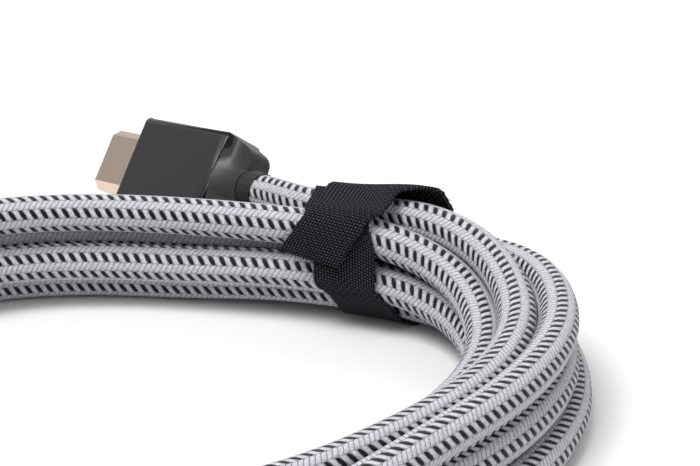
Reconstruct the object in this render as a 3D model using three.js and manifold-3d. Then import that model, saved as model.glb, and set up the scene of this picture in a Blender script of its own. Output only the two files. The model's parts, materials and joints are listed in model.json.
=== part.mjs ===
// A 3 m braided video cable, coiled into seven turns and held by a hook-and-loop strap.
// Millimetres, +Z up. The coil lies flat on the floor and one plug rests on top of it.
import * as THREE from 'three';
import { mergeVertices } from 'three/addons/utils/BufferGeometryUtils.js';
import Module from 'manifold-3d';

const wasm = await Module();
wasm.setup();

// Cable
const cableDiameter = 7.3;
const cableRadius = cableDiameter / 2;
const tubeSides = 10;
const stepLength = 17;
const touchGap = 0.3; // air between pieces that touch

// Outline of the innermost turn seen from above, clockwise from the strap
const outlinePoints = [
  [0, -47.5], [13, -52], [21.5, -60.5], [25.4, -72.5], [25.8, -90],
  [17.5, -109.5], [3.5, -125.5], [-12, -140], [-34, -151], [-63, -157],
  [-91, -143], [-105, -104], [-101, -62], [-72, -36], [-34, -37.8],
];

// Offset outwards and height of the seven turns, in order along the cable:
// inside the strap, round the tight end, and along the near side
const floorHeight = cableRadius;
const strapLanes = [
  [7.2, 20.6], [-0.2, 19.6], [-0.2, 9.2], [4.8, floorHeight], [11.9, 6.2], [6.9, 12.2],
  [18.9, floorHeight],
];
const bendLanes = [
  [5.4, 17.6], [-0.4, 13.2], [-0.4, 6.4], [6, floorHeight], [12.8, 9.8], [11.4, 17.6],
  [12.8, floorHeight],
];
const nearLanes = [
  [4.6, 15.6], [-0.6, 10.6], [0, floorHeight], [7, floorHeight], [12.6, 9.6], [10.7, 17.6],
  [14.2, floorHeight],
];
const turns = strapLanes.length;
const leavingLane = [36, floorHeight];

// Shares of a turn between which each turn climbs into the next one's place
const laneChanges = [
  [0.7, 0.81], [0.65, 0.76], [0.6, 0.71], [0.55, 0.66], [0.5, 0.62], [0.46, 0.58], [0.44, 0.56],
];
const climbOver = 4.5; // how far the sixth turn bows out over its neighbour
const bendFrom = 0.03;
const bendTo = 0.17;
const nearTo = 0.31;
const backFrom = 0.72;
const backTo = 0.845;
const liftedTo = 0.02; // the strap's tape lies under the turns and lifts them off the floor
const loweredFrom = 0.075;
const liftNone = 20; // height from which a turn isn't lifted any more
const coilEnd = 0.55; // where the last turn leaves the coil
const sectionsBefore = 2; // sections of the first turn that lie ahead of the strap

// Packing of the turns against each other
const sectionsPerTurn = 60;
const packingRounds = 60;
const packedSpacing = cableDiameter + 0.1;
const smoothing = 0.2;

// Plug
const shellWidth = 13.9;
const shellHeight = 4.45;
const shellLength = 11.8;
const shellWall = 0.4;
const shellChamfer = 1.6;
const pocketDepth = 2;
const housingWidth = 20.5;
const housingThickness = 10.5;
const housingBody = 28;
const housingTail = 8.5;
const housingEdge = 0.8;
const cornerRadius = 2.2;
const tailWidth = 14;
const tailThickness = 5.4;
const flareRadius = 5;
const collarRadius = 4.3;
const collarLength = 4;
const collarEnd = 3.9;
const slotWidth = 11.2;
const slotHeight = 1.9;
const contactPitch = 1;
const contactWidth = 0.45;
const contactLength = 8;
const contactHeight = 0.2;
const upperContacts = 10;
const lowerContacts = 9;

// Places of the two plugs: the middle of the collar's cable end, the way that the plug points,
// and the way that one narrow side of its housing faces
const plugAEnd = [-17.6, -23.6, 18.3];
const plugAWay = [-0.663, 0.736, -0.139];
const plugASide = [0.36, 0.476, 0.802];
const plugBEnd = [-60, -189, housingThickness / 2];
const plugBWay = [-0.996, 0.087, 0];
const plugBSide = [0.087, 0.996, 0];
const leadABulge = 5;
const leadBBulge = 7;

// Strap
const tapeWidth = 13;
const tapeThickness = 0.8;
const tapeStandOff = 0.7;
const tapeTurns = 1.4;
const tapeClimb = 0.15; // share of a turn over which the outer layer climbs onto the inner one
const tapeOuterEnd = 175; // degrees round the bundle, from its outer side over the top
const tapeStep = 10;

const ease = (u, from, to) => {
  const t = Math.min(Math.max((u - from) / (to - from), 0), 1);
  return t * t * (3 - 2 * t);
};
const mix = (a, b, t) => a.map((value, k) => value + (b[k] - value) * t);

// A point, and the direction of travel, on the closed cubic B-spline of the outline
function outlineAt(u) {
  const n = outlinePoints.length;
  const along = (u - Math.floor(u)) * n;
  const i = Math.floor(along);
  const t = along - i;
  const weights = [
    (1 - t) ** 3 / 6, (3 * t ** 3 - 6 * t * t + 4) / 6,
    (-3 * t ** 3 + 3 * t * t + 3 * t + 1) / 6, t ** 3 / 6,
  ];
  const slopes = [
    -((1 - t) ** 2) / 2, (3 * t * t - 4 * t) / 2, (-3 * t * t + 2 * t + 1) / 2, t * t / 2,
  ];
  const point = new THREE.Vector2();
  const way = new THREE.Vector2();
  for (let k = 0; k < 4; k++) {
    const control = new THREE.Vector2(...outlinePoints[(i + k - 1 + n) % n]);
    point.addScaledVector(control, weights[k]);
    way.addScaledVector(control, slopes[k]);
  }
  return { point, way: way.normalize() };
}

// Offset and height of a turn at a share of the outline, before the turns are packed
function laneAt(turn, u) {
  const next = turn + 1 < turns ? nearLanes[turn + 1] : leavingLane;
  const last = turn + 1 < turns ? strapLanes[turn + 1] : leavingLane;
  let lane = mix(strapLanes[turn], bendLanes[turn], ease(u, bendFrom, bendTo));
  lane = mix(lane, nearLanes[turn], ease(u, bendTo, nearTo));
  const change = ease(u, ...laneChanges[turn]);
  lane = mix(lane, next, change);
  if (turn === turns - 2) {
    const bow = climbOver * Math.sin(Math.PI * change);
    lane = [lane[0] + bow, lane[1] + bow];
  }
  const [offset, height] = mix(lane, last, ease(u, backFrom, backTo));
  const fromStrap = Math.min(u, 1 - u);
  const lift = (tapeStandOff + tapeThickness) * (1 - ease(height, floorHeight, liftNone));
  return [offset, height + lift * (1 - ease(fromStrap, liftedTo, loweredFrom))];
}

// The turns pushed apart until none lies inside another, and smoothed along their length
function packTurns() {
  const lanes = [];
  for (let turn = 0; turn < turns; turn++) {
    lanes.push([]);
    for (let i = 0; i <= sectionsPerTurn; i++) lanes[turn].push(laneAt(turn, i / sectionsPerTurn));
  }
  const first = Math.ceil(bendFrom * sectionsPerTurn);
  const last = Math.floor(backTo * sectionsPerTurn) + 1;
  for (let round = 0; round < packingRounds; round++) {
    for (let i = first; i <= last; i++) {
      for (let a = 0; a < turns; a++) {
        for (let b = 0; b < a; b++) {
          const [p, q] = [lanes[a][i], lanes[b][i]];
          const [dx, dz] = [q[0] - p[0], q[1] - p[1]];
          const apart = Math.max(Math.hypot(dx, dz), 0.01);
          const push = Math.max(packedSpacing - apart, 0) / 2 / apart;
          lanes[a][i] = [p[0] - dx * push, Math.max(p[1] - dz * push, floorHeight)];
          lanes[b][i] = [q[0] + dx * push, Math.max(q[1] + dz * push, floorHeight)];
        }
      }
    }
    if (round >= packingRounds - 4) continue;
    for (const lane of lanes) {
      const old = lane.map((value) => [...value]);
      for (let i = first; i <= last; i++) {
        lane[i] = lane[i].map((value, k) => (
          value + smoothing * (old[i - 1][k] + old[i + 1][k] - 2 * old[i][k])
        ));
      }
    }
  }
  return lanes;
}

const packed = packTurns();

function coilPoint(turn, i) {
  const { point, way } = outlineAt(i / sectionsPerTurn);
  const [offset, height] = i < 0 ? packed[turn][0] : packed[turn][i];
  return new THREE.Vector3(point.x - way.y * offset, point.y + way.x * offset, height);
}

function manifoldOf(geometry) {
  const bare = geometry.clone();
  bare.deleteAttribute('normal');
  bare.deleteAttribute('uv');
  const merged = mergeVertices(bare, 1e-4);
  const mesh = new wasm.Mesh({
    numProp: 3,
    vertProperties: new Float32Array(merged.attributes.position.array),
    triVerts: new Uint32Array(merged.index.array),
  });
  return new wasm.Manifold(mesh);
}

function geometryOf(solid) {
  const mesh = solid.getMesh();
  const geometry = new THREE.BufferGeometry();
  geometry.setAttribute('position', new THREE.BufferAttribute(mesh.vertProperties, 3));
  geometry.setIndex(new THREE.BufferAttribute(mesh.triVerts, 1));
  const flat = geometry.toNonIndexed();
  flat.computeVertexNormals();
  return flat;
}

function tube(path) {
  const section = new THREE.Shape();
  for (let k = 0; k < tubeSides; k++) {
    const angle = (2 * Math.PI * (k + 0.5)) / tubeSides;
    const [x, y] = [cableRadius * Math.cos(angle), cableRadius * Math.sin(angle)];
    if (k === 0) section.moveTo(x, y);
    else section.lineTo(x, y);
  }
  section.closePath();
  const steps = Math.max(Math.round(path.getLength() / stepLength), 2);
  return new THREE.ExtrudeGeometry(section, { steps, extrudePath: path, bevelEnabled: false });
}

const material = (color, roughness, metalness = 0) => (
  new THREE.MeshStandardMaterial({ color, roughness, metalness })
);
const braid = material(0xa9a8ad, 0.6);
const tapeBlack = material(0x222225, 0.85);
const housingBlack = material(0x45464a, 0.45);
const rubberBlack = material(0x2a2a2c, 0.7);
const shellGold = material(0xc6b09e, 0.28, 1);
const insulatorBlack = material(0x1c1c1e, 0.5);
const contactGold = material(0xd4af62, 0.3, 1);

const group = new THREE.Group();

function add(name, geometry, look, parent = group) {
  const mesh = new THREE.Mesh(geometry, look);
  mesh.name = name;
  parent.add(mesh);
  return mesh;
}

// The coil: half turns joined where they meet, each a little longer than its half
function coilSolid() {
  const half = sectionsPerTurn / 2;
  const lastSection = Math.round(coilEnd * sectionsPerTurn);
  const route = [];
  for (let turn = 0; turn < turns; turn++) {
    const until = turn < turns - 1 ? sectionsPerTurn : lastSection + 1;
    for (let i = turn ? 0 : -sectionsBefore; i < until; i++) route.push(coilPoint(turn, i));
  }
  let solid = null;
  for (let start = 0; start < route.length - 1; start += half) {
    const piece = manifoldOf(tube(new THREE.CatmullRomCurve3(route.slice(start, start + half + 2))));
    solid = solid ? solid.add(piece) : piece;
  }
  return { solid, route };
}

const coil = coilSolid();
add('cable_coil', geometryOf(coil.solid), braid);

// A lead from a plug's cable end to an end of the coil, with its tangents at both ends
function lead(name, [plugEnd, plugWay], coilEndPoint, coilWay, bulge) {
  const start = plugEnd.clone().addScaledVector(plugWay, touchGap);
  const end = coilEndPoint.clone().addScaledVector(coilWay, -touchGap);
  const curve = new THREE.CubicBezierCurve3(
    start,
    start.clone().addScaledVector(plugWay, bulge),
    end.clone().addScaledVector(coilWay, -bulge),
    end,
  );
  return add(name, tube(curve), braid);
}

// Plug in its own frame: +X is the way it plugs in, Y its width, Z its thickness,
// and the origin is the middle of the housing's front face
function roundedOutline(width, height, radius) {
  const shape = new THREE.Shape();
  const [x, y] = [width / 2, height / 2];
  shape.moveTo(-x + radius, -y);
  shape.lineTo(x - radius, -y);
  shape.absarc(x - radius, -y + radius, radius, -Math.PI / 2, 0);
  shape.absarc(x - radius, y - radius, radius, 0, Math.PI / 2);
  shape.absarc(-x + radius, y - radius, radius, Math.PI / 2, Math.PI);
  shape.absarc(-x + radius, -y + radius, radius, Math.PI, 1.5 * Math.PI);
  return shape;
}

function shellOutline(inset) {
  const x = shellWidth / 2 - inset;
  const y = shellHeight / 2 - inset;
  const cut = shellChamfer - inset * 0.4;
  return new THREE.Shape([
    new THREE.Vector2(-x, y), new THREE.Vector2(-x, -y + cut), new THREE.Vector2(-x + cut, -y),
    new THREE.Vector2(x - cut, -y), new THREE.Vector2(x, -y + cut), new THREE.Vector2(x, y),
  ]);
}

// An extrusion of a shape drawn in Y and Z, from one X to another
function alongX(shape, from, to) {
  const geometry = new THREE.ExtrudeGeometry(shape, {
    depth: to - from, bevelEnabled: false, curveSegments: 4,
  });
  geometry.applyMatrix4(new THREE.Matrix4().set(
    0, 0, 1, from, 1, 0, 0, 0, 0, 1, 0, 0, 0, 0, 0, 1,
  ));
  return geometry;
}

function housingSolid() {
  // Broad faces: straight sides, then a taper to the rounded tail, with a bevel round the rim
  const [side, tailSide] = [housingWidth / 2, tailWidth / 2];
  const back = -housingBody - housingTail;
  const broad = (inset) => {
    const shape = new THREE.Shape();
    shape.moveTo(-inset, -side + inset);
    shape.lineTo(-inset, side - inset);
    shape.lineTo(-housingBody, side - inset);
    shape.lineTo(back + cornerRadius, tailSide + 1 - inset);
    shape.quadraticCurveTo(back + inset, tailSide - inset, back + inset, tailSide - cornerRadius);
    shape.lineTo(back + inset, -tailSide + cornerRadius);
    shape.quadraticCurveTo(back + inset, -tailSide + inset, back + cornerRadius, -tailSide - 1 + inset);
    shape.lineTo(-housingBody, -side + inset);
    shape.closePath();
    return shape;
  };
  const plate = (inset, thickness) => {
    const geometry = new THREE.ExtrudeGeometry(broad(inset), {
      depth: thickness, bevelEnabled: false, curveSegments: 4,
    });
    geometry.translate(0, 0, -thickness / 2);
    return manifoldOf(geometry);
  };
  const rim = plate(0, housingThickness - 2 * housingEdge);
  const middle = plate(housingEdge, housingThickness);
  let solid = rim.add(middle);
  // The tail is thinner than the body, behind a slope on each broad face
  const slope = new THREE.Shape([
    new THREE.Vector2(-housingBody, housingThickness / 2 + 1),
    new THREE.Vector2(-housingBody, housingThickness / 2),
    new THREE.Vector2(-housingBody - 3, tailThickness / 2),
    new THREE.Vector2(back - 1, tailThickness / 2),
    new THREE.Vector2(back - 1, housingThickness / 2 + 1),
  ]);
  for (const flip of [1, -1]) {
    const cut = new THREE.ExtrudeGeometry(slope, { depth: housingWidth + 2, bevelEnabled: false });
    cut.applyMatrix4(new THREE.Matrix4().set(
      1, 0, 0, 0, 0, 0, -flip, flip * (housingWidth / 2 + 1), 0, flip, 0, 0, 0, 0, 0, 1,
    ));
    solid = solid.subtract(manifoldOf(cut));
  }
  // A round flare carries the cable out of the tail
  const flare = new THREE.LatheGeometry([
    new THREE.Vector2(0, 0), new THREE.Vector2(flareRadius, 0),
    new THREE.Vector2(collarRadius, housingTail), new THREE.Vector2(0, housingTail),
  ], 16);
  flare.rotateZ(Math.PI / 2);
  flare.translate(-housingBody, 0, 0);
  solid = solid.add(manifoldOf(flare));
  const pocket = alongX(shellOutline(-touchGap), -pocketDepth, 1);
  return solid.subtract(manifoldOf(pocket));
}

function plugPieces(prefix) {
  const plug = new THREE.Group();
  const root = -pocketDepth + touchGap;
  add(`${prefix}_housing`, geometryOf(housingSolid()), housingBlack, plug);
  const inner = shellOutline(shellWall);
  const ring = shellOutline(0);
  ring.holes.push(new THREE.Path(inner.getPoints()));
  add(`${prefix}_shell`, alongX(ring, root, shellLength), shellGold, plug);
  // Insulator that lines the shell, with the slot for the socket's tongue
  const liner = shellOutline(shellWall + touchGap / 2);
  const slot = roundedOutline(slotWidth, slotHeight, 0.2);
  liner.holes.push(new THREE.Path(slot.getPoints(2)));
  const front = shellLength - 1.2;
  const floorX = root + 1;
  const block = manifoldOf(alongX(liner, floorX, front))
    .add(manifoldOf(alongX(shellOutline(shellWall + touchGap / 2), root, floorX + 0.5)));
  add(`${prefix}_contact_block`, geometryOf(block), insulatorBlack, plug);
  // Each row of contacts is one comb of springs on the slot's wall
  const rows = [['upper', upperContacts, 1], ['lower', lowerContacts, -1]];
  for (const [row, count, upward] of rows) {
    const reach = ((count - 1) * contactPitch + contactWidth) / 2;
    const away = upward * (slotHeight / 2 - contactHeight / 2 - touchGap / 4);
    let comb = manifoldOf(new THREE.BoxGeometry(0.8, 2 * reach, contactHeight)
      .translate(floorX + 1.2, 0, away));
    for (let k = 0; k < count; k++) {
      const y = (k - (count - 1) / 2) * contactPitch;
      const bar = new THREE.BoxGeometry(contactLength, contactWidth, contactHeight);
      comb = comb.add(manifoldOf(bar.translate(floorX + 0.9 + contactLength / 2, y, away)));
    }
    add(`${prefix}_contacts_${row}`, geometryOf(comb), contactGold, plug);
  }
  // Soft collar round the cable's exit
  const collar = new THREE.LatheGeometry([
    new THREE.Vector2(0, touchGap), new THREE.Vector2(collarRadius, touchGap),
    new THREE.Vector2(collarEnd, collarLength), new THREE.Vector2(0, collarLength),
  ], 16);
  collar.rotateZ(Math.PI / 2);
  collar.translate(-housingBody - housingTail, 0, 0);
  add(`${prefix}_collar`, collar, rubberBlack, plug);
  return plug;
}

const collarTip = housingBody + housingTail + collarLength;

// Returns the cable end and the way that the cable leaves it
function placePlug(prefix, cableEnd, wayOfPlug, wayOfSide) {
  const plug = plugPieces(prefix);
  const end = new THREE.Vector3(...cableEnd);
  const way = new THREE.Vector3(...wayOfPlug).normalize();
  const thick = way.clone().cross(new THREE.Vector3(...wayOfSide)).normalize();
  const side = thick.clone().cross(way);
  plug.setRotationFromMatrix(new THREE.Matrix4().makeBasis(way, side, thick));
  plug.position.copy(end).addScaledVector(way, collarTip);
  group.add(plug);
  return [end, way.negate()];
}

const cableLeavesA = placePlug('plug_a', plugAEnd, plugAWay, plugASide);
const cableLeavesB = placePlug('plug_b', plugBEnd, plugBWay, plugBSide);

const [coilStart, coilSecond] = coil.route;
const startWay = coilSecond.clone().sub(coilStart).normalize();
lead('lead_a', cableLeavesA, coilStart, startWay, leadABulge);
const [coilBeforeLast, coilLast] = coil.route.slice(-2);
const endWay = coilBeforeLast.clone().sub(coilLast).normalize();
lead('lead_b', cableLeavesB, coilLast, endWay, leadBBulge);

// The strap: a tape wound round the turns where they are closest together
function tapePoint(angle, clearance) {
  const normal = new THREE.Vector2(Math.cos(angle), Math.sin(angle));
  let [best, corner] = [-Infinity, null];
  for (let turn = 0; turn < turns; turn++) {
    const centre = new THREE.Vector2(...packed[turn][0]);
    if (centre.dot(normal) > best) [best, corner] = [centre.dot(normal), centre];
  }
  return corner.clone().addScaledVector(normal, cableRadius + clearance);
}

function strapGeometry() {
  const count = Math.round((tapeTurns * 360) / tapeStep);
  const [inside, outside] = [[], []];
  for (let k = 0; k <= count; k++) {
    const degrees = tapeOuterEnd - k * tapeStep;
    const wound = tapeTurns - (k * tapeStep) / 360;
    const layer = ease(wound, 1 - tapeClimb, 1);
    const clearance = tapeStandOff + layer * (tapeThickness + touchGap);
    const angle = THREE.MathUtils.degToRad(degrees);
    inside.push(tapePoint(angle, clearance));
    outside.push(tapePoint(angle, clearance + tapeThickness));
  }
  const shape = new THREE.Shape([...outside, ...inside.reverse()]);
  return new THREE.ExtrudeGeometry(shape, { depth: tapeWidth, bevelEnabled: false });
}

const strap = strapGeometry();
const { point: strapPoint, way: strapWay } = outlineAt(0);
const strapFrame = new THREE.Matrix4().makeBasis(
  new THREE.Vector3(-strapWay.y, strapWay.x, 0),
  new THREE.Vector3(0, 0, 1),
  new THREE.Vector3(strapWay.x, strapWay.y, 0),
);
strapFrame.setPosition(
  strapPoint.x - strapWay.x * tapeWidth / 2, strapPoint.y - strapWay.y * tapeWidth / 2, 0,
);
strap.applyMatrix4(strapFrame);
add('strap', strap, tapeBlack);

// The origin is the middle of the floor under the whole object
const box = new THREE.Box3().setFromObject(group);
const centre = box.getCenter(new THREE.Vector3());
group.position.set(-centre.x, -centre.y, -box.min.z);

export default group;
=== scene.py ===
"""A coiled 3 m braided video cable with its plugs and hook-and-loop strap, dressed for a studio picture."""

import json
import math
import random

import bmesh
import bpy
import numpy as np
from bpy.props import FloatProperty, FloatVectorProperty, IntProperty, PointerProperty
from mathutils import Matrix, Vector


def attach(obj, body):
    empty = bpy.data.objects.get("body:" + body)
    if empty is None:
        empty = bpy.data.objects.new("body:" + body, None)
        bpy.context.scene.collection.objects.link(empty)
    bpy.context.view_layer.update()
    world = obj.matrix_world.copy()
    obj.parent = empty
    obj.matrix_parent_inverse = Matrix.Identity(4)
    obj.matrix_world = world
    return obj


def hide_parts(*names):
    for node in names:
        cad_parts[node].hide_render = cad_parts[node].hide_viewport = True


bl_info = {
    "name": "Coiled video cable",
    "version": (1, 0, 0),
    "blender": (4, 5, 0),
    "location": "View3D > Sidebar > Cable",
    "description": "Builds a coiled braided cable, its strap and its plugs",
    "category": "Object",
}

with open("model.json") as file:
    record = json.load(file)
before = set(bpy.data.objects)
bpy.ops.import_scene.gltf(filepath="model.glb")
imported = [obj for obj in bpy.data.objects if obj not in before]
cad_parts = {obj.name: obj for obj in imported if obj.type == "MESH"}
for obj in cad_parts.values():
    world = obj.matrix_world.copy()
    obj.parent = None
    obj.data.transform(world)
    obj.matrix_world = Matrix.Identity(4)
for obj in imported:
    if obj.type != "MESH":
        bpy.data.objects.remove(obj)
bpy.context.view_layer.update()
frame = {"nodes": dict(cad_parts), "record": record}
MM = 0.001

# The route of the cable, in millimetres, as the model's source has it
DIAMETER = 7.3
RADIUS = DIAMETER / 2
FLOOR = RADIUS
# The middle line of the loop, seen from above
OUTLINE = [
    (0, -47.5), (13, -52), (21.5, -60.5), (25.4, -72.5), (25.8, -90),
    (17.5, -109.5), (3.5, -125.5), (-12, -140), (-34, -151), (-63, -157),
    (-91, -143), (-105, -104), (-101, -62), (-72, -36), (-34, -37.8),
]
# Offset outwards and height of each turn's middle: in the strap, past the bend and on the near side
STRAP_LANES = [(7.2, 20.6), (-0.2, 19.6), (-0.2, 9.2), (4.8, FLOOR), (11.9, 6.2), (6.9, 12.2), (18.9, FLOOR)]
BEND_LANES = [(5.4, 17.6), (-0.4, 13.2), (-0.4, 6.4), (6, FLOOR), (12.8, 9.8), (11.4, 17.6), (12.8, FLOOR)]
NEAR_LANES = [(4.6, 15.6), (-0.6, 10.6), (0, FLOOR), (7, FLOOR), (12.6, 9.6), (10.7, 17.6), (14.2, FLOOR)]
LEAVING = (36, FLOOR)
# Shares of a round between which each turn takes the next one's place
CHANGES = [(0.7, 0.81), (0.65, 0.76), (0.6, 0.71), (0.55, 0.66), (0.5, 0.62), (0.46, 0.58), (0.44, 0.56)]
TURNS = len(STRAP_LANES)
CLIMB_OVER = 4.5
BEND_FROM, BEND_TO, NEAR_TO = 0.03, 0.17, 0.31
BACK_FROM, BACK_TO = 0.72, 0.845
LIFTED_TO, LOWERED_FROM, LIFT_NONE = 0.02, 0.075, 20
COIL_END = 0.55
SECTIONS = 60
ROUNDS, LAST_ROUNDS = 60, 4
SPACING = DIAMETER + 0.1
SMOOTHING = 0.2
ROUTE_PARTS = 6
PLUG_A_END = (-17.6, -23.6, 18.3)
PLUG_A_WAY, PLUG_A_SIDE = (-0.663, 0.736, -0.139), (0.36, 0.476, 0.802)
PLUG_B_END, PLUG_B_WAY = (-60, -189, 5.25), (-0.996, 0.087, 0)
LEAD_A_BULGE, LEAD_B_BULGE = 8, 7
LEAD_A_POINTS, LEAD_B_POINTS = 6, 7
HOUSING_BODY, HOUSING_TAIL, COLLAR_LENGTH = 28, 8.5, 4
MOUNT_SIDE = 8.7
TAPE_WIDTH, TAPE_THICKNESS, TAPE_STAND_OFF = 13, 0.8, 0.7
TAPE_TURNS, TAPE_CLIMB, TAPE_OUTER_END, TAPE_GAP = 1.4, 0.15, 175, 0.3

# The tape as it lies in the picture: share of a round, then along the cable the place of its middle and its spread
TAPE_WAY = (
    (-0.02, -5.5, 1.04), (-0.0117, -0.6, 1.02), (0.0, 0.1, 1.0), (0.153, 2.6, 1.0), (0.222, 5.8, 1.3),
    (0.297, 7.2, 1.48), (0.36, 9.0, 1.4), (0.5, 11.0, 1.05), (0.75, 9.6, 0.95), (0.8, 8.8, 0.92),
    (0.93, 5.1, 0.86), (1.0, 3.6, 1.0), (1.08, 2.2, 1.0), (1.4, 0.0, 1.0),
)
TAPE_START, TAPE_STEP = -0.02, 3.0
TAPE_CLEARANCE = TAPE_STAND_OFF * 0.4
TAPE_BODY = TAPE_THICKNESS * 0.85
TAPE_REACH = 0.12
CUT_HEIGHT, CUT_SLANT = 15.3, 0.2
LOOSE_HEIGHT, LOOSE_RISE, LOOSE_FALL = 1.4, (0.03, 0.2), (0.3, 0.42)
LOOSE_EDGES = (-TAPE_WIDTH * 0.4, TAPE_WIDTH * 0.6)
TAPE_COLUMNS, TAPE_ROWS = 22, 220
EDGE_WAVER = 0.25
STRAP_SEED, THREAD_SEED = 7, 11
LOWEST_TAPE, LOWEST_THREAD = 0.05, 0.1

# Rounding of the housings
WELD, FLAT_ANGLE = 0.00002, math.radians(1)
LONG_EDGE = 0.0042
SHARP_EDGE = math.radians(40)
EDGE_ROUNDING, ROUNDING_STEPS = 0.0011, 4

# Camera, found from the photograph
PICTURE = (700, 466)
CAMERA_DISTANCE = 0.49
CAMERA_TILT = math.radians(22)
FOCAL_PIXELS = 2280
FLOOR_SIZE, FLOOR_DROP = 8, 0.0001
LIGHTS_AIM = (-10, -70, 10)
# Name, place from where the lights aim, size and power
LIGHTS = (
    ("key", (-0.3, -0.2, 0.75), 0.45, 6.8),
    ("fill", (0.6, -0.5, 0.5), 0.6, 1.6),
    ("back", (0.1, 0.7, 0.55), 0.6, 3.0),
)

# Braid and weave
UV_NAME = "Braid"
FLOAT_BAND = 2.15  # columns under a float that leans right; the rest of four lies under those that lean left
FLOAT_ROUND, FLOAT_ENDS, FLOAT_DIP = 2.4, 3.5, 0.55
TRACER_TAPER, TRACER_SIDES, TRACER_ENDS = 0.35, (0.8, 1.0), (0.9, 1.0)
THREAD_WAVES, THREAD_RELIEF = 44.0, 0.035
# Edges of the painted highlight on the tape's crests, and its strength where the warp lies under
CREST_EDGES, UNDER_CREST = (0.08, 0.34), 0.65


def ease(u, start, end):
    """Nought before the start, one past the end, and a smooth rise between them."""
    t = min(max((u - start) / (end - start), 0), 1)
    return t * t * (3 - 2 * t)


def mix(a, b, t):
    return tuple(p + (q - p) * t for p, q in zip(a, b))


def unit(v):
    v = np.array(v, float)
    return v / np.linalg.norm(v)


def frame_shift():
    """The model's origin seen from the camera's own frame, in millimetres, found from plug A's mount."""
    way = unit(PLUG_A_WAY)
    thick = unit(np.cross(way, PLUG_A_SIDE))
    side = np.cross(thick, way)
    here = np.array(PLUG_A_END) + way * (HOUSING_BODY + HOUSING_TAIL + COLLAR_LENGTH) + side * MOUNT_SIDE
    mounts = {m["name"]: m["pos_m"] for m in frame["record"]["mounts"]}
    return np.array(mounts["plug_a_face"]) / MM - here


SHIFT = frame_shift()


def placed(points):
    """Millimetres in the camera's frame to metres in the model's frame."""
    return (np.asarray(points, float) + SHIFT) * MM


def outline_at(u):
    """The loop's middle line at a share of a round, and its way there."""
    n = len(OUTLINE)
    along = (u - math.floor(u)) * n
    i = int(along)
    t = along - i
    weights = (
        (1 - t) ** 3 / 6,
        (3 * t**3 - 6 * t * t + 4) / 6,
        (-3 * t**3 + 3 * t * t + 3 * t + 1) / 6,
        t**3 / 6,
    )
    slopes = (
        -((1 - t) ** 2) / 2,
        (3 * t * t - 4 * t) / 2,
        (-3 * t * t + 2 * t + 1) / 2,
        t * t / 2,
    )
    controls = [np.array(OUTLINE[(i + k - 1) % n], float) for k in range(4)]
    point = sum(w * c for w, c in zip(weights, controls))
    return point, unit(sum(s * c for s, c in zip(slopes, controls)))


def lane_at(turn, u):
    """Offset and height of a turn at a share of a round, before the turns are packed."""
    following = NEAR_LANES[turn + 1] if turn + 1 < TURNS else LEAVING
    last = STRAP_LANES[turn + 1] if turn + 1 < TURNS else LEAVING
    lane = mix(STRAP_LANES[turn], BEND_LANES[turn], ease(u, BEND_FROM, BEND_TO))
    lane = mix(lane, NEAR_LANES[turn], ease(u, BEND_TO, NEAR_TO))
    change = ease(u, *CHANGES[turn])
    lane = mix(lane, following, change)
    if turn == TURNS - 2:
        bow = CLIMB_OVER * math.sin(math.pi * change)
        lane = (lane[0] + bow, lane[1] + bow)
    offset, height = mix(lane, last, ease(u, BACK_FROM, BACK_TO))
    lift = (TAPE_STAND_OFF + TAPE_THICKNESS) * (1 - ease(height, FLOOR, LIFT_NONE))
    return offset, height + lift * (1 - ease(min(u, 1 - u), LIFTED_TO, LOWERED_FROM))


def pack_turns():
    """All turns' lanes, pushed apart until none overlaps another, and smoothed on the way."""
    lanes = np.array(
        [[lane_at(turn, i / SECTIONS) for i in range(SECTIONS + 1)] for turn in range(TURNS)]
    )
    first, last = math.ceil(BEND_FROM * SECTIONS), int(BACK_TO * SECTIONS) + 1
    for step in range(ROUNDS):
        for i in range(first, last + 1):
            for a in range(TURNS):
                for b in range(a):
                    p, q = lanes[a, i].copy(), lanes[b, i].copy()
                    d = q - p
                    apart = max(math.hypot(*d), 0.01)
                    push = max(SPACING - apart, 0) / 2 / apart
                    lanes[a, i] = p[0] - d[0] * push, max(p[1] - d[1] * push, FLOOR)
                    lanes[b, i] = q[0] + d[0] * push, max(q[1] + d[1] * push, FLOOR)
        if step >= ROUNDS - LAST_ROUNDS:
            continue
        old = lanes.copy()
        here = slice(first, last + 1)
        bent = old[:, first - 1 : last] + old[:, first + 1 : last + 2] - 2 * old[:, here]
        lanes[:, here] = old[:, here] + SMOOTHING * bent
    return lanes


LANES = pack_turns()


def beside(along, offset, height):
    """The point at an offset outwards from the outline and at a height."""
    point, way = outline_at(along)
    return point[0] - way[1] * offset, point[1] + way[0] * offset, height


def coil_route():
    route = []
    last = round(COIL_END * SECTIONS)
    for turn in range(TURNS):
        for i in range(SECTIONS if turn < TURNS - 1 else last + 1):
            route.append(beside(i / SECTIONS, *LANES[turn, i]))
    return np.array(route)


def lead_points(end, way, coil_end, coil_way, bulge, count):
    """The lead from a collar to an end of the coil, as a cubic curve with both tangents."""
    a, d = np.array(end, float), np.array(coil_end)
    b, c = a + np.array(way) * bulge, d - np.array(coil_way) * bulge
    return [
        a * (1 - t) ** 3 + 3 * b * t * (1 - t) ** 2 + 3 * c * t * t * (1 - t) + d * t**3
        for t in np.linspace(0, 1, count)
    ]


def cable_route():
    """The cable's points from plug A's collar through the coil to plug B's collar."""
    coil = coil_route()
    first, last = unit(coil[1] - coil[0]), unit(coil[-2] - coil[-1])
    start = lead_points(PLUG_A_END, -unit(PLUG_A_WAY), coil[0], first, LEAD_A_BULGE, LEAD_A_POINTS)
    end = lead_points(PLUG_B_END, -unit(PLUG_B_WAY), coil[-1], last, LEAD_B_BULGE, LEAD_B_POINTS)
    return np.array(start[:-1] + list(coil) + end[:-1][::-1])


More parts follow.
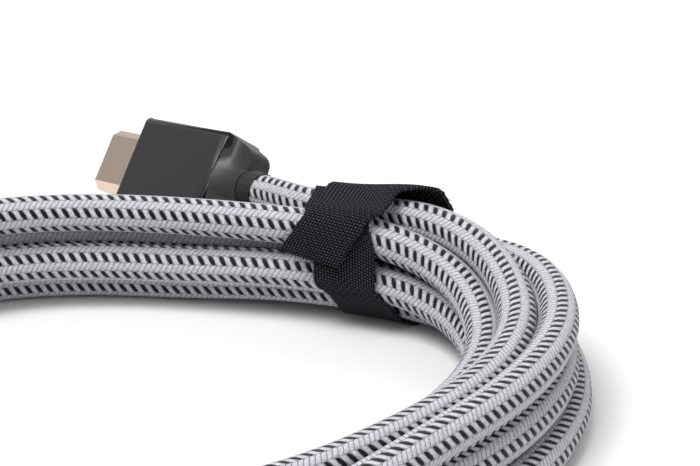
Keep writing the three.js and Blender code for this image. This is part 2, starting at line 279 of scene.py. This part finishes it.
def smooth_line(points, parts):
    """A curve through the points, with the given number of parts between two of them."""
    padded = np.vstack([2 * points[0] - points[1], points, 2 * points[-1] - points[-2]])
    out = []
    for p0, p1, p2, p3 in zip(padded, padded[1:], padded[2:], padded[3:]):
        for t in np.arange(parts) / parts:
            bend = (2 * p0 - 5 * p1 + 4 * p2 - p3) * t * t + (3 * p1 - p0 - 3 * p2 + p3) * t**3
            out.append(0.5 * (2 * p1 + (p2 - p0) * t + bend))
    out.append(points[-1])
    return np.array(out)


def run_along(line):
    """The distance along a line at each of its points."""
    return np.concatenate([[0], np.cumsum(np.linalg.norm(np.diff(line, axis=0), axis=1))])


def even_points(line, parts):
    """The same line as points at even distances."""
    run = run_along(line)
    at = np.linspace(0, run[-1], parts + 1)
    return np.stack([np.interp(at, run, line[:, k]) for k in range(3)], axis=1)


def carried_frames(line):
    """Two directions across a line at each point, carried along it without twist."""
    ways = np.gradient(line, axis=0)
    ways /= np.linalg.norm(ways, axis=1)[:, None]
    side = unit(np.cross(ways[0], (0.0, 0.0, 1.0)))
    sides = []
    for way in ways:
        side = unit(side - way * (side @ way))
        sides.append(side)
    sides = np.array(sides)
    return sides, np.cross(sides, ways)


def quads_between(a, b, n):
    """The faces between two rings of n corners that start at the corners a and b."""
    return [(a + k, a + (k + 1) % n, b + (k + 1) % n, b + k) for k in range(n)]


def new_object(name, vertices, faces, material, smooth=True, uvs=None):
    mesh = bpy.data.meshes.new(name)
    mesh.from_pydata([tuple(v) for v in vertices], [], faces)
    mesh.validate()
    mesh.materials.append(material)
    if smooth:
        mesh.shade_smooth()
    else:
        mesh.shade_flat()
    if uvs is not None:
        layer = mesh.uv_layers.new(name=UV_NAME)
        layer.data.foreach_set("uv", np.asarray(uvs, np.float32).ravel())
    piece = bpy.data.objects.new(name, mesh)
    bpy.context.scene.collection.objects.link(piece)
    return piece


# Shader building


class Maker:
    """Adds nodes to a tree and links them, with plain numbers or sockets as inputs."""

    def __init__(self, tree):
        self.tree = tree

    def node(self, kind, inputs=None, **settings):
        made = self.tree.nodes.new(kind)
        for key, value in settings.items():
            setattr(made, key, value)
        for key, value in (inputs or {}).items():
            if isinstance(value, bpy.types.NodeSocket):
                self.tree.links.new(value, made.inputs[key])
            else:
                made.inputs[key].default_value = value
        return made

    def math(self, operation, a, b=0.0, c=0.0):
        return self.node("ShaderNodeMath", {0: a, 1: b, 2: c}, operation=operation).outputs[0]

    def blend(self, factor, a, b):
        return self.node("ShaderNodeMix", {"Factor": factor, 6: a, 7: b}, data_type="RGBA").outputs[2]

    def choose(self, mask, without, within):
        return self.node("ShaderNodeMix", {0: mask, 2: without, 3: within}, data_type="FLOAT").outputs[0]

    def from_middle(self, value):
        """Distance of a value from the middle between two whole numbers."""
        return self.math("ABSOLUTE", self.math("SUBTRACT", self.math("FRACT", value), 0.5))

    def noise(self, scale, detail):
        place = self.node("ShaderNodeTexCoord").outputs["Object"]
        return self.node("ShaderNodeTexNoise", {"Vector": place, "Scale": scale, "Detail": detail}).outputs[0]

    def soft_step(self, value, low, high):
        limits = {0: value, 1: low, 2: high, 3: 0.0, 4: 1.0}
        return self.node("ShaderNodeMapRange", limits, interpolation_type="SMOOTHSTEP").outputs[0]


def new_group(name, inputs, outputs):
    tree = bpy.data.node_groups.new(name, "ShaderNodeTree")
    for label, kind in inputs:
        tree.interface.new_socket(name=label, in_out="INPUT", socket_type=kind)
    for label, kind in outputs:
        tree.interface.new_socket(name=label, in_out="OUTPUT", socket_type=kind)
    maker = Maker(tree)
    return tree, maker, maker.node("NodeGroupInput").outputs, maker.node("NodeGroupOutput")


def braid_group():
    """Turns the angle round the cable and the length along it into the braid: tracer mask and height."""
    tree, m, given, out = new_group(
        "Braid pattern",
        [(label, "NodeSocketFloat") for label in ("Angle", "Length", "Columns", "Row")],
        [(label, "NodeSocketFloat") for label in ("Tracer", "Height")],
    )
    column = m.math("MULTIPLY", given["Angle"], given["Columns"])
    row = m.math("DIVIDE", given["Length"], given["Row"])
    band = m.math("FLOORED_MODULO", column, 4.0)
    right = m.math("LESS_THAN", band, FLOAT_BAND)
    sign = m.math("SUBTRACT", 1.0, m.math("MULTIPLY", right, 2.0))
    yarn = m.math("SUBTRACT", column, m.math("MULTIPLY", row, sign))
    cross = m.math("SUBTRACT", m.math("FRACT", m.math("DIVIDE", yarn, 2.0)), 0.5)
    right_along = m.math("MULTIPLY_ADD", band, 2 / FLOAT_BAND, -1.0)
    past_band = m.math("SUBTRACT", band, FLOAT_BAND)
    left_along = m.math("MULTIPLY_ADD", past_band, 2 / (4 - FLOAT_BAND), -1.0)
    along = m.choose(right, left_along, right_along)
    across = m.math("ABSOLUTE", m.math("MULTIPLY", cross, 2.0))
    length = m.math("ABSOLUTE", along)
    side = m.math("SUBTRACT", 1.0, m.math("POWER", across, FLOAT_ROUND))
    ends = m.math("SUBTRACT", 1.0, m.math("POWER", length, FLOAT_ENDS))
    rise = m.math("MULTIPLY_ADD", ends, FLOAT_DIP, 1 - FLOAT_DIP)
    height = m.math("MULTIPLY", m.math("POWER", side, 0.5), rise)
    black = m.math("LESS_THAN", m.math("FRACT", m.math("DIVIDE", yarn, 4.0)), 0.5)
    taper = m.math("MULTIPLY_ADD", m.math("POWER", length, 2.0), TRACER_TAPER, across)
    wide = m.math("SUBTRACT", 1.0, m.soft_step(taper, *TRACER_SIDES))
    long = m.math("SUBTRACT", 1.0, m.soft_step(length, *TRACER_ENDS))
    tracer = m.math("MULTIPLY", m.math("MULTIPLY", black, right), m.math("MULTIPLY", wide, long))
    threads = m.math("SINE", m.math("MULTIPLY", cross, THREAD_WAVES))
    m.tree.links.new(tracer, out.inputs["Tracer"])
    m.tree.links.new(m.math("MULTIPLY_ADD", threads, THREAD_RELIEF, height), out.inputs["Height"])
    return tree


def weave_group():
    """A plain weave of coarse yarns: height, and a mask of the painted shade on all that lies below the crests of
    the yarns, whose crests carry a painted highlight.
    """
    tree, m, given, out = new_group(
        "Plain weave",
        [("Vector", "NodeSocketVector"), ("Across", "NodeSocketFloat"), ("Along", "NodeSocketFloat")],
        [("Height", "NodeSocketFloat"), ("Shaded holes", "NodeSocketFloat")],
    )
    split = m.node("ShaderNodeSeparateXYZ", {0: given["Vector"]}).outputs
    x = m.math("MULTIPLY", split[0], given["Across"])
    y = m.math("MULTIPLY", split[1], given["Along"])
    checks = m.math("FLOORED_MODULO", m.math("ADD", m.math("FLOOR", x), m.math("FLOOR", y)), 2.0)
    warp = m.math("SUBTRACT", 0.5, m.from_middle(x))
    weft = m.math("SUBTRACT", 0.5, m.from_middle(y))
    over = m.math("MULTIPLY_ADD", checks, 0.5, 0.5)
    under = m.math("SUBTRACT", 1.5, over)
    height = m.math("MAXIMUM", m.math("MULTIPLY", warp, over), m.math("MULTIPLY", weft, under))
    # Painted highlight on the crests, full where the warp lies over and weaker where it lies under; the rest is
    # painted shade
    crests = m.math("MULTIPLY", m.soft_step(warp, *CREST_EDGES), m.soft_step(weft, *CREST_EDGES))
    crest_highlight = m.math("MULTIPLY_ADD", checks, 1 - UNDER_CREST, UNDER_CREST)
    shaded_holes = m.math("SUBTRACT", 1.0, m.math("MULTIPLY", crests, crest_highlight))
    m.tree.links.new(height, out.inputs["Height"])
    m.tree.links.new(shaded_holes, out.inputs["Shaded holes"])
    return tree


def new_material(name, color, roughness, metallic=0.0, specular=0.5):
    material = bpy.data.materials.new(name)
    material.use_nodes = True
    material.diffuse_color = (*color, 1.0)
    maker = Maker(material.node_tree)
    shader = material.node_tree.nodes["Principled BSDF"]
    shader.inputs["Base Color"].default_value = (*color, 1.0)
    shader.inputs["Roughness"].default_value = roughness
    shader.inputs["Metallic"].default_value = metallic
    shader.inputs["Specular IOR Level"].default_value = specular
    return material, maker, shader


def add_bump(maker, shader, height, strength, distance):
    bump = maker.node("ShaderNodeBump", {"Height": height, "Strength": strength, "Distance": distance})
    maker.tree.links.new(bump.outputs[0], shader.inputs["Normal"])


def braid_material(settings):
    material, m, shader = new_material("braid", settings.braid_color, 0.55, specular=0.18)
    uv = m.node("ShaderNodeUVMap", uv_map=UV_NAME).outputs[0]
    split = m.node("ShaderNodeSeparateXYZ", {0: uv}).outputs
    pattern = m.node("ShaderNodeGroup", node_tree=braid_group())
    m.tree.links.new(split[0], pattern.inputs["Angle"])
    m.tree.links.new(split[1], pattern.inputs["Length"])
    pattern.inputs["Columns"].default_value = settings.braid_columns
    pattern.inputs["Row"].default_value = settings.braid_row / MM
    height = pattern.outputs["Height"]
    noise = m.noise(2400.0, 3.0)
    # Painted shade: the yarn's colour falls to a third of itself in the low parts between the crests of the yarns
    low = m.soft_step(height, 0.1, 0.85)
    shade_and_mottle_color = tuple(c * 0.3 for c in settings.braid_color)
    base = m.blend(low, (*shade_and_mottle_color, 1), (*settings.braid_color, 1))
    # The same dark tone mottles the yarn at random, as a real unevenness of the yarn
    base = m.blend(m.math("MULTIPLY", m.soft_step(noise, 0.4, 0.66), 0.42), base, (*shade_and_mottle_color, 1))
    base = m.blend(pattern.outputs["Tracer"], base, (*settings.tracer_color, 1))
    m.tree.links.new(base, shader.inputs["Base Color"])
    add_bump(m, shader, height, 0.8, 0.00022)
    shader.inputs["Sheen Weight"].default_value = 0.08
    return material


def tape_material(settings):
    color = tuple(settings.tape_color)
    material, m, shader = new_material("strap_tape", color, 0.8, specular=0.05)
    uv = m.node("ShaderNodeUVMap", uv_map=UV_NAME).outputs[0]
    weave = m.node("ShaderNodeGroup", {"Vector": uv}, node_tree=weave_group())
    weave.inputs["Across"].default_value = settings.weave_count
    weave.inputs["Along"].default_value = settings.weave_count
    # Painted highlight: the crests of the weave take a lit colour 55 times the tape's own, while the holes keep
    # the tape's own dark colour as painted shade
    lit = tuple(min(c * 55, 1) for c in color)
    base = m.blend(weave.outputs["Shaded holes"], (*lit, 1), (*color, 1))
    base = m.blend(m.math("MULTIPLY", m.noise(1400.0, 2.0), 0.35), base, (0.001, 0.001, 0.0012, 1))
    m.tree.links.new(base, shader.inputs["Base Color"])
    add_bump(m, shader, weave.outputs["Height"], 0.9, 0.0004)
    return material


def grained_material(name, color, roughness, grain, depth, metallic=0.0):
    material, m, shader = new_material(name, color, roughness, metallic)
    noise = m.noise(grain, 4.0)
    limits = {0: noise, 1: 0.3, 2: 0.7, 3: roughness * 0.85, 4: roughness * 1.15}
    m.tree.links.new(m.node("ShaderNodeMapRange", limits).outputs[0], shader.inputs["Roughness"])
    add_bump(m, shader, noise, 0.35, depth)
    return material


def color_setting(name, what, default):
    return FloatVectorProperty(name=name, description=f"Colour of {what}", subtype="COLOR", default=default)


class CableSettings(bpy.types.PropertyGroup):
    sides: IntProperty(name="Sides", description="Faces round the cable", default=20, min=8, max=48)
    step: FloatProperty(
        name="Step", description="Length of one ring of faces", unit="LENGTH", default=1.0 * MM, min=0.5 * MM
    )
    braid_columns: FloatProperty(
        name="Columns", description="Crossings of the braid round the cable", default=24.0, min=4
    )
    braid_row: FloatProperty(
        name="Row", description="Distance between crossings", unit="LENGTH", default=0.55 * MM, min=0.1 * MM
    )
    braid_color: color_setting("Braid", "the silver-white yarn", (0.56, 0.55, 0.6))
    tracer_color: color_setting("Tracer", "the black yarn", (0.003, 0.003, 0.005))


class StrapSettings(bpy.types.PropertyGroup):
    tape_color: color_setting("Tape", "the hook-and-loop tape", (0.0016, 0.0015, 0.0018))
    weave_count: FloatProperty(
        name="Weave", description="Yarns of the tape to the millimetre", default=1.65, min=0.1
    )
    hair_count: IntProperty(name="Hairs", description="Loose threads at the tape's edges", default=520, min=0)
    hair_length: FloatProperty(
        name="Hair length", description="Longest loose thread", unit="LENGTH", default=0.9 * MM, min=0
    )


class PlugSettings(bpy.types.PropertyGroup):
    housing_color: color_setting("Housing", "the plugs' housings", (0.018, 0.018, 0.021))
    collar_color: color_setting("Collar", "the soft collars", (0.006, 0.006, 0.007))
    shell_color: color_setting("Shell", "the plated shells", (0.72, 0.58, 0.48))
    insulator_color: color_setting("Insulator", "the insulators", (0.012, 0.012, 0.013))
    contact_color: color_setting("Contacts", "the contacts", (0.83, 0.6, 0.26))


class StageSettings(bpy.types.PropertyGroup):
    floor_color: color_setting("Floor", "the floor", (0.8, 0.8, 0.8))
    sky: FloatProperty(name="Sky", description="Strength of the light all round", default=0.43, min=0)


class CABLE_OT_cable(bpy.types.Operator):
    """Build the whole cable as one braided tube"""

    bl_idname = "cable.cable"
    bl_label = "Cable"

    def execute(self, context):
        settings = context.scene.cable_settings
        route = placed(cable_route())
        line = smooth_line(route, ROUTE_PARTS)
        length = run_along(line)[-1]
        line = even_points(line, round(length / settings.step))
        sides, ups = carried_frames(line)
        count, n = len(line), settings.sides
        angles = (np.arange(n) * 2 * math.pi / n)[None, :, None]
        rings = line[:, None] + RADIUS * MM * (np.cos(angles) * sides[:, None] + np.sin(angles) * ups[:, None])
        vertices = rings.reshape(-1, 3)
        run = np.linspace(0, length, count) / MM
        faces, uvs = [], []
        for r in range(count - 1):
            faces += quads_between(r * n, (r + 1) * n, n)
            for k in range(n):
                left, right = k / n, (k + 1) / n
                uvs += [(left, run[r]), (right, run[r]), (right, run[r + 1]), (left, run[r + 1])]
        faces += [tuple(reversed(range(n))), tuple(range((count - 1) * n, count * n))]
        uvs += [(0.1, 0)] * (2 * n)
        cable = new_object("braided_cable", vertices, faces, braid_material(settings), uvs=uvs)
        if (cable.data.polygons[0].normal @ Vector(vertices[0] - line[0])) < 0:
            cable.data.flip_normals()
        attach(cable, "root")
        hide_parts("cable_coil", "lead_a", "lead_b")
        return {"FINISHED"}


def outline_run():
    """Shares of the outline on both sides of the strap, with the distance along it in millimetres."""
    shares = np.linspace(-TAPE_REACH, TAPE_REACH, 97)
    run = run_along(np.array([outline_at(u)[0] for u in shares]))
    return shares, run - np.interp(0, shares, run)


STRAP_SHARES, STRAP_RUN = outline_run()


def section_at(along):
    """The middles of the turns, as offset and height, at a distance along the cable from the strap's middle."""
    u = float(np.interp(along, STRAP_RUN, STRAP_SHARES))
    at = (u if u >= 0 else 1 + u) * SECTIONS
    i = min(int(at), SECTIONS - 1)
    turns = range(TURNS) if u >= 0 else range(TURNS - 1)
    centres = [LANES[turn, i] + (LANES[turn, i + 1] - LANES[turn, i]) * (at - i) for turn in turns]
    return centres if u >= 0 else centres + [LANES[0, 0]]


def tape_point(degrees, clearance, along):
    """A point of the tape round the turns, in millimetres, at a distance along the cable."""
    angle = math.radians(degrees)
    normal = np.array((math.cos(angle), math.sin(angle)))
    centre = max(section_at(along), key=lambda c: c @ normal)
    offset, height = centre + normal * (RADIUS + clearance)
    share = float(np.interp(along, STRAP_RUN, STRAP_SHARES))
    return np.array(beside(share, offset, max(height, LOWEST_TAPE)))


def softened(values, rounds, first):
    """Values with their corners smoothed, apart from those before the first and the last one."""
    for _ in range(rounds):
        values[first:-1] = (values[first - 1 : -2] + 2 * values[first:-1] + values[first + 1 :]) / 4
    return values


def tape_column(across, lift):
    """One thread of the tape from its cut end inwards, at a place across its width."""
    shares = np.arange(TAPE_START, TAPE_TURNS + 1e-6, TAPE_STEP / 360)
    at, middles, spreads = zip(*TAPE_WAY)
    middles = softened(np.interp(shares, at, middles), 5, 3)
    spreads = softened(np.interp(shares, at, spreads), 5, 3)
    points = []
    for share, middle, spread in zip(shares, middles, spreads):
        along = middle + across * spread
        layer = ease(TAPE_TURNS - share, 1 - TAPE_CLIMB, 1)
        clearance = TAPE_CLEARANCE + layer * (TAPE_THICKNESS + TAPE_GAP) + lift
        loose = ease(share, *LOOSE_RISE) * (1 - ease(share, *LOOSE_FALL))
        clearance += LOOSE_HEIGHT * loose * ease(across, *LOOSE_EDGES)
        points.append(tape_point(TAPE_OUTER_END - share * 360, clearance, along))
    points = np.array(points)
    cut = CUT_HEIGHT - across * CUT_SLANT
    first = int(np.argmax(points[:, 2] > cut))
    t = (cut - points[first - 1, 2]) / (points[first, 2] - points[first - 1, 2])
    return np.vstack([points[first - 1] + t * (points[first] - points[first - 1]), points[first:]])


def tape_grid():
    """The tape's points: its outer and inner face, the rows along it and the columns across it."""
    rng = random.Random(STRAP_SEED)
    grid = np.empty((2, TAPE_ROWS, TAPE_COLUMNS + 1, 3))
    for k in range(TAPE_COLUMNS + 1):
        across = (k / TAPE_COLUMNS - 0.5) * TAPE_WIDTH
        for face, lift in ((0, TAPE_BODY), (1, 0.0)):
            grid[face, :, k] = even_points(tape_column(across, lift), TAPE_ROWS - 1)
    for _ in range(3):
        grid[:, 1:-1] = (grid[:, :-2] + 2 * grid[:, 1:-1] + grid[:, 2:]) / 4
        grid[:, :, 1:-1] = (grid[:, :, :-2] + 2 * grid[:, :, 1:-1] + grid[:, :, 2:]) / 4
    for i in range(TAPE_ROWS):
        for k, inner in ((0, 1), (TAPE_COLUMNS, TAPE_COLUMNS - 1)):
            edge = grid[:, i, k] - grid[:, i, inner]
            grid[:, i, k] += edge * rng.uniform(-EDGE_WAVER, EDGE_WAVER)
    return grid


def tape_faces():
    """The faces of the tape's grid: two sides, two edges and two ends."""
    wide = TAPE_COLUMNS + 1
    block = TAPE_ROWS * wide
    faces = []
    for i in range(TAPE_ROWS - 1):
        for k in range(TAPE_COLUMNS):
            a = i * wide + k
            faces.append((a, a + 1, a + wide + 1, a + wide))
            b = a + block
            faces.append((b, b + wide, b + wide + 1, b + 1))
        start, after = i * wide, (i + 1) * wide
        for a, b in ((start, after), (after + TAPE_COLUMNS, start + TAPE_COLUMNS)):
            faces.append((a, b, b + block, a + block))
    for k in range(TAPE_COLUMNS):
        faces.append((k, k + block, k + 1 + block, k + 1))
        e = (TAPE_ROWS - 1) * wide + k
        faces.append((e, e + 1, e + 1 + block, e + block))
    return faces


class CABLE_OT_strap(bpy.types.Operator):
    """Build the hook-and-loop strap with its loose threads"""

    bl_idname = "cable.strap"
    bl_label = "Strap"

    def execute(self, context):
        settings = context.scene.strap_settings
        material = tape_material(settings)
        grid, faces = tape_grid(), tape_faces()
        run = run_along(grid[0, :, TAPE_COLUMNS // 2])
        uvs = []
        for corner in (corner for face in faces for corner in face):
            i, k = divmod(corner % (TAPE_ROWS * (TAPE_COLUMNS + 1)), TAPE_COLUMNS + 1)
            uvs.append(((k / TAPE_COLUMNS - 0.5) * TAPE_WIDTH, run[i]))
        strap = new_object("strap_tape", placed(grid.reshape(-1, 3)), faces, material, uvs=uvs)
        fix_normals(strap)
        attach(strap, "root")
        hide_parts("strap")
        self.add_threads(settings, grid, material)
        return {"FINISHED"}

    def add_threads(self, settings, grid, material):
        """Short loose threads that stand out of the tape's two edges and its cut end."""
        rng = random.Random(THREAD_SEED)
        vertices, faces = [], []
        longest = settings.hair_length / MM
        _, count, wide, _ = grid.shape
        for number in range(settings.hair_count):
            i, k = rng.randrange(1, count - 1), rng.choice((0, wide - 1))
            inner = 1 if k == 0 else wide - 2
            outwards = grid[0, i, k] - grid[0, i, inner]
            along = grid[0, i + 1, k] - grid[0, i - 1, k]
            if number % 5 == 0:
                i, k = 0, rng.randrange(wide)
                outwards = grid[0, 0, k] - grid[0, 1, k]
                along = grid[0, 0, min(k + 1, wide - 1)] - grid[0, 0, max(k - 1, 0)]
            outwards, along = unit(outwards), unit(along)
            rise = unit(grid[0, i, k] - grid[1, i, k])
            depth = rng.uniform(0.1, 0.95)
            foot = grid[1, i, k] + (grid[0, i, k] - grid[1, i, k]) * depth
            reach = rng.uniform(0.2, 1.0) ** 2 * longest + 0.1
            tip = foot + (outwards + along * rng.uniform(-0.7, 0.7) + rise * rng.uniform(-0.1, 0.6)) * reach
            tip[2] = max(tip[2], LOWEST_THREAD)
            thick = rng.uniform(0.04, 0.075)
            for end, r in ((foot, thick), (tip, thick * 0.5)):
                for corner in range(3):
                    angle = corner * 2 * math.pi / 3
                    vertices.append(end + (along * math.cos(angle) + rise * math.sin(angle)) * r)
            b = len(vertices) - 6
            faces += quads_between(b, b + 3, 3) + [(b, b + 2, b + 1), (b + 3, b + 4, b + 5)]
        threads = new_object("strap_threads", placed(vertices), faces, material, smooth=False)
        fix_normals(threads)
        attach(threads, "root")


def fix_normals(piece):
    mesh = bmesh.new()
    mesh.from_mesh(piece.data)
    bmesh.ops.recalc_face_normals(mesh, faces=mesh.faces)
    mesh.to_mesh(piece.data)
    mesh.free()


def dress(piece, material):
    piece.data.materials.clear()
    piece.data.materials.append(material)


def rounded_copy(node_name, material):
    """A copy of a node's solid with its edges rounded, which stands in the node's place."""
    node = frame["nodes"][node_name]
    piece = bpy.data.objects.new(f"{node_name}_moulded", node.data.copy())
    bpy.context.scene.collection.objects.link(piece)
    mesh = bmesh.new()
    mesh.from_mesh(piece.data)
    bmesh.ops.remove_doubles(mesh, verts=mesh.verts, dist=WELD)
    bmesh.ops.dissolve_limit(mesh, angle_limit=FLAT_ANGLE, verts=mesh.verts, edges=mesh.edges)
    weights = mesh.edges.layers.float.new("bevel_weight_edge")
    for edge in mesh.edges:
        if edge.is_convex and edge.calc_length() > LONG_EDGE and edge.calc_face_angle(0) > SHARP_EDGE:
            edge[weights] = 1
    mesh.to_mesh(piece.data)
    mesh.free()
    dress(piece, material)
    bevel = piece.modifiers.new("rounding", "BEVEL")
    bevel.limit_method = "WEIGHT"
    bevel.width = EDGE_ROUNDING
    bevel.segments = ROUNDING_STEPS
    bevel.use_clamp_overlap = False
    piece.data.shade_smooth()
    piece.data.set_sharp_from_angle(angle=SHARP_EDGE)
    weighted = piece.modifiers.new("flat faces", "WEIGHTED_NORMAL")
    weighted.keep_sharp = True
    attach(piece, "root")
    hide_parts(node_name)


class CABLE_OT_plugs(bpy.types.Operator):
    """Give the plugs' pieces their finishes"""

    bl_idname = "cable.plugs"
    bl_label = "Plugs"

    def execute(self, context):
        settings = context.scene.plug_settings
        looks = {
            "housing": grained_material("housing_plastic", settings.housing_color, 0.42, 5200, 0.00003),
            "collar": grained_material("collar_rubber", settings.collar_color, 0.65, 3000, 0.00002),
            "shell": grained_material("shell_metal", settings.shell_color, 0.36, 1500, 0.000004, 1.0),
            "contact_block": new_material("insulator", settings.insulator_color, 0.5)[0],
            "contacts_upper": new_material("contact_plating", settings.contact_color, 0.25, 1.0)[0],
        }
        looks["contacts_lower"] = looks["contacts_upper"]
        for prefix in ("plug_a", "plug_b"):
            rounded_copy(f"{prefix}_housing", looks["housing"])
            for part, material in looks.items():
                dress(frame["nodes"][f"{prefix}_{part}"], material)
        return {"FINISHED"}


class CABLE_OT_stage(bpy.types.Operator):
    """Set the floor, the lights and the camera"""

    bl_idname = "cable.stage"
    bl_label = "Stage"

    def execute(self, context):
        settings = context.scene.stage_settings
        scene = context.scene
        bpy.ops.mesh.primitive_plane_add(size=FLOOR_SIZE, location=(0, 0, -FLOOR_DROP))
        floor = context.object
        floor.name = "floor"
        dress(floor, new_material("floor_paper", settings.floor_color, 0.9, specular=0.1)[0])
        world = bpy.data.worlds.new("studio")
        world.use_nodes = True
        background = world.node_tree.nodes["Background"]
        background.inputs[0].default_value = (1, 1, 1, 1)
        background.inputs[1].default_value = settings.sky
        scene.world = world
        centre = Vector(placed(LIGHTS_AIM))
        for name, offset, size, power in LIGHTS:
            light = bpy.data.lights.new(name, "AREA")
            light.size = size
            light.energy = power
            lamp = bpy.data.objects.new(name, light)
            lamp.location = centre + Vector(offset)
            lamp.rotation_euler = (centre - lamp.location).to_track_quat("-Z", "Y").to_euler()
            scene.collection.objects.link(lamp)
        view = bpy.data.cameras.new("camera")
        view.sensor_fit = "HORIZONTAL"
        view.lens = view.sensor_width * FOCAL_PIXELS / PICTURE[0]
        view.clip_start = 0.01
        camera = bpy.data.objects.new("camera", view)
        target = Vector(placed((0, 0, 0)))
        back = Vector((0, -math.cos(CAMERA_TILT), math.sin(CAMERA_TILT)))
        camera.location = target + back * CAMERA_DISTANCE
        camera.rotation_euler = (-back).to_track_quat("-Z", "Y").to_euler()
        scene.collection.objects.link(camera)
        scene.camera = camera
        scene.view_settings.view_transform = "Standard"
        return {"FINISHED"}


class CABLE_PT_panel(bpy.types.Panel):
    """Lists the pieces and the stage"""

    bl_idname = "CABLE_PT_panel"
    bl_label = "Coiled cable"
    bl_space_type = "VIEW_3D"
    bl_region_type = "UI"
    bl_category = "Cable"

    def draw(self, context):
        scene = context.scene
        for operator, settings in (
            (CABLE_OT_cable, scene.cable_settings),
            (CABLE_OT_strap, scene.strap_settings),
            (CABLE_OT_plugs, scene.plug_settings),
            (CABLE_OT_stage, scene.stage_settings),
        ):
            box = self.layout.box()
            for name in settings.bl_rna.properties.keys():
                if name not in ("rna_type", "name"):
                    box.prop(settings, name)
            box.operator(operator.bl_idname)


GROUPS = {
    "cable_settings": CableSettings,
    "strap_settings": StrapSettings,
    "plug_settings": PlugSettings,
    "stage_settings": StageSettings,
}
CLASSES = (*GROUPS.values(), CABLE_OT_cable, CABLE_OT_strap, CABLE_OT_plugs, CABLE_OT_stage, CABLE_PT_panel)


def register():
    for cls in CLASSES:
        bpy.utils.register_class(cls)
    for name, group in GROUPS.items():
        setattr(bpy.types.Scene, name, PointerProperty(type=group))


def unregister():
    for name in GROUPS:
        delattr(bpy.types.Scene, name)
    for cls in reversed(CLASSES):
        bpy.utils.unregister_class(cls)


def main():
    register()
    bpy.ops.cable.stage()
    bpy.ops.cable.plugs()
    bpy.ops.cable.cable()
    bpy.ops.cable.strap()


if __name__ == "__main__":
    main()
